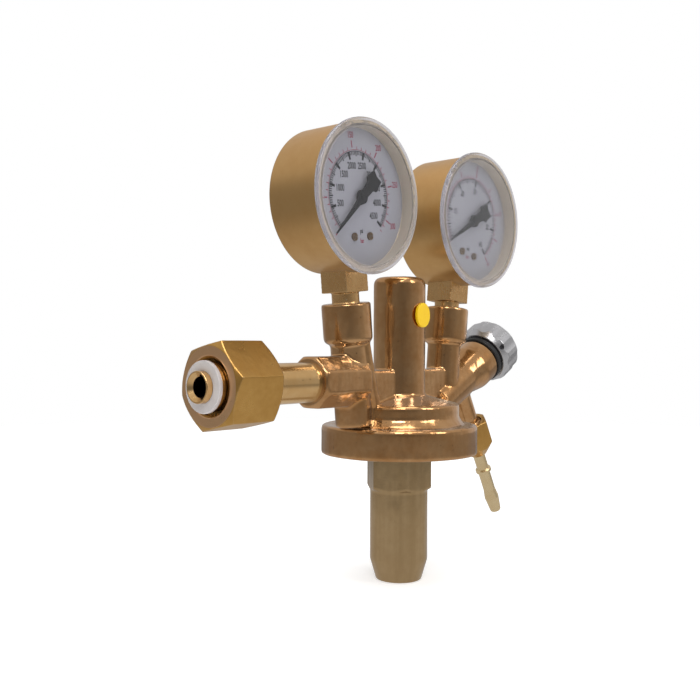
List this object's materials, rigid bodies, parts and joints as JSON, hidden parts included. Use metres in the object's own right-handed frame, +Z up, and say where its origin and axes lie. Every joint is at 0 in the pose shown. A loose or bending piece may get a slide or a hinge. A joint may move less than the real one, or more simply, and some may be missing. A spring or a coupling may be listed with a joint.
{
  "type": "gas cylinder pressure regulator",
  "caption": "Brass gas cylinder regulator with union nut inlet, twin pressure gauges, side flow valve with chrome knob, hose tail outlet and a spring housing below.",
  "frame": {"origin": "on the union nut's axis at the inner end of the inlet spigot, 0.1 mm in front of the washer's sealing face", "axes": "+X runs from the inlet into the body, the dials face -Y, +Z is up along the closed post"},
  "size_m": [0.2082, 0.0734, 0.2064],
  "materials": {
    "forged_brass": "polished forging under clear lacquer",
    "polished_brass": "turned and polished",
    "nut_brass": "satin",
    "case_gold": "satin, lacquered",
    "socket_brass": "machined",
    "tube_brass": "dull satin",
    "pale_brass": "turned",
    "machined_brass": "machined",
    "screw_brass": "bright",
    "tube_bronze": "drawn",
    "sintered_bronze": "sintered",
    "white_nylon": "smooth",
    "yellow_disc": "gloss",
    "black_rubber": "matt",
    "black_ring": "satin",
    "knob_chrome": "satin chrome",
    "spring_steel": "zinc plated",
    "steel_ring": "bright",
    "clear_crystal": "clear moulded plastic",
    "dial_white": "matt, printed scales",
    "pointer_black": "matt"
  },
  "bodies": {
    "regulator": {"body": "forged_brass", "colour_disc": "yellow_disc", "inlet_stem": "polished_brass", "inlet_filter": "sintered_bronze", "inlet_washer": "white_nylon", "valve_nozzle": "machined_brass", "valve_spring": "spring_steel", "diaphragm": "black_rubber", "clamp_ring": "machined_brass", "spring_housing": "tube_brass", "main_spring": "spring_steel", "flow_gland": "machined_brass", "flow_packing": "black_rubber", "knob_ring": "black_ring", "gauge_1_socket": "socket_brass", "gauge_1_washer": "white_nylon", "gauge_1_case": "case_gold", "gauge_1_crystal": "clear_crystal", "gauge_1_movement": "machined_brass", "gauge_1_bourdon_tube": "tube_bronze", "gauge_1_dial": "dial_white", "gauge_1_dial_screws": "screw_brass", "gauge_2_socket": "socket_brass", "gauge_2_washer": "white_nylon", "gauge_2_case": "case_gold", "gauge_2_crystal": "clear_crystal", "gauge_2_movement": "machined_brass", "gauge_2_bourdon_tube": "tube_bronze", "gauge_2_dial": "dial_white", "gauge_2_dial_screws": "screw_brass"},
    "slip_ring": {"inlet_slip_ring": "steel_ring"},
    "inlet_nut": {"inlet_nut": "nut_brass"},
    "diaphragm_plate": {"diaphragm_plate": "machined_brass"},
    "poppet": {"valve_poppet": "machined_brass"},
    "spring_seat": {"spring_seat": "spring_steel"},
    "adjusting_screw": {"adjusting_screw": "spring_steel"},
    "flow_needle": {"flow_needle": "machined_brass"},
    "flow_knob": {"flow_spindle": "machined_brass", "knob": "knob_chrome", "knob_grub_screw": "spring_steel"},
    "hose_tail": {"hose_tail": "pale_brass"},
    "outlet_nut": {"outlet_nut": "nut_brass"},
    "gauge_1_sector": {"gauge_1_sector": "machined_brass"},
    "gauge_1_link": {"gauge_1_link": "machined_brass"},
    "gauge_1_pointer": {"gauge_1_pointer": "pointer_black"},
    "gauge_2_sector": {"gauge_2_sector": "machined_brass"},
    "gauge_2_link": {"gauge_2_link": "machined_brass"},
    "gauge_2_pointer": {"gauge_2_pointer": "pointer_black"}
  },
  "joints": [
    {"name": "nut_slide", "type": "slide", "parent": "regulator", "child": "slip_ring", "axis": [1, 0, 0], "range_m": [-0.0125, 0.0295]},
    {"name": "nut_turn", "type": "hinge", "parent": "slip_ring", "child": "inlet_nut", "pos_m": [0, 0, 0], "axis": [1, 0, 0], "continuous": true},
    {"name": "plate_lift", "type": "slide", "parent": "regulator", "child": "diaphragm_plate", "axis": [0, 0, 1], "range_m": [0, 0.0006], "deforming": ["diaphragm"]},
    {"name": "poppet_lift", "type": "slide", "parent": "regulator", "child": "poppet", "axis": [0, 0, 1], "range_m": [0, 0.0007], "deforming": ["valve_spring"]},
    {"name": "seat_lift", "type": "slide", "parent": "regulator", "child": "spring_seat", "axis": [0, 0, 1], "range_m": [-0.0015, 0.006], "deforming": ["main_spring"]},
    {"name": "adjuster_turn", "type": "hinge", "parent": "spring_seat", "child": "adjusting_screw", "pos_m": [0.1185, 0, 0], "axis": [0, 0, 1], "range_deg": [-360.5, 1440.5]},
    {"name": "needle_travel", "type": "slide", "parent": "regulator", "child": "flow_needle", "axis": [0.8838, 0, 0.4679], "range_m": [0, 0.002]},
    {"name": "knob_turn", "type": "hinge", "parent": "flow_needle", "child": "flow_knob", "pos_m": [0.1652, 0, -0.0026], "axis": [0.8838, 0, 0.4679], "range_deg": [0, 720.5]},
    {"name": "tail_travel", "type": "slide", "parent": "regulator", "child": "hose_tail", "axis": [0.4679, 0, -0.8838], "range_m": [0, 0.00936]},
    {"name": "outlet_nut_turn", "type": "hinge", "parent": "hose_tail", "child": "outlet_nut", "pos_m": [0.1652, 0, -0.0026], "axis": [0.4679, 0, -0.8838], "range_deg": [0, 2520.5]},
    {"name": "gauge_1_sector_turn", "type": "hinge", "parent": "regulator", "child": "gauge_1_sector", "pos_m": [0.07695, 0, 0.06898], "axis": [0.0069, -1, 0.0007], "range_deg": [-0.73, 35.27]},
    {"name": "gauge_1_link_turn", "type": "hinge", "parent": "gauge_1_sector", "child": "gauge_1_link", "pos_m": [0.07747, 0, 0.06401], "axis": [0.0069, -1, 0.0007], "range_deg": [-35.7, 1.2]},
    {"name": "gauge_1_pointer_turn", "type": "hinge", "parent": "regulator", "child": "gauge_1_pointer", "pos_m": [0.07588, 0, 0.07912], "axis": [-0.0069, 1, -0.0007], "range_deg": [-6, 265]},
    {"name": "gauge_2_sector_turn", "type": "hinge", "parent": "regulator", "child": "gauge_2_sector", "pos_m": [0.15988, 0, 0.06733], "axis": [-0.0052, -1, 0.0005], "range_deg": [-0.73, 35.27]},
    {"name": "gauge_2_link_turn", "type": "hinge", "parent": "gauge_2_sector", "child": "gauge_2_link", "pos_m": [0.15935, 0, 0.06236], "axis": [-0.0052, -1, 0.0005], "range_deg": [-35.7, 1.2]},
    {"name": "gauge_2_pointer_turn", "type": "hinge", "parent": "regulator", "child": "gauge_2_pointer", "pos_m": [0.16094, 0, 0.07747], "axis": [0.0052, 1, -0.0005], "range_deg": [-6, 265]}
  ],
  "couplings": [
    {"joint": "poppet_lift", "follows": "plate_lift", "ratio": 1},
    {"joint": "adjuster_turn", "follows": "seat_lift", "rad_per_m": 4188.8},
    {"joint": "knob_turn", "follows": "needle_travel", "rad_per_m": 6283.2},
    {"joint": "outlet_nut_turn", "follows": "tail_travel", "rad_per_m": 4699.5},
    {"joint": "gauge_1_link_turn", "follows": "gauge_1_sector_turn", "ratio": -1},
    {"joint": "gauge_1_pointer_turn", "follows": "gauge_1_sector_turn", "ratio": 7.5},
    {"joint": "gauge_2_link_turn", "follows": "gauge_2_sector_turn", "ratio": -1},
    {"joint": "gauge_2_pointer_turn", "follows": "gauge_2_sector_turn", "ratio": 7.5}
  ]
}
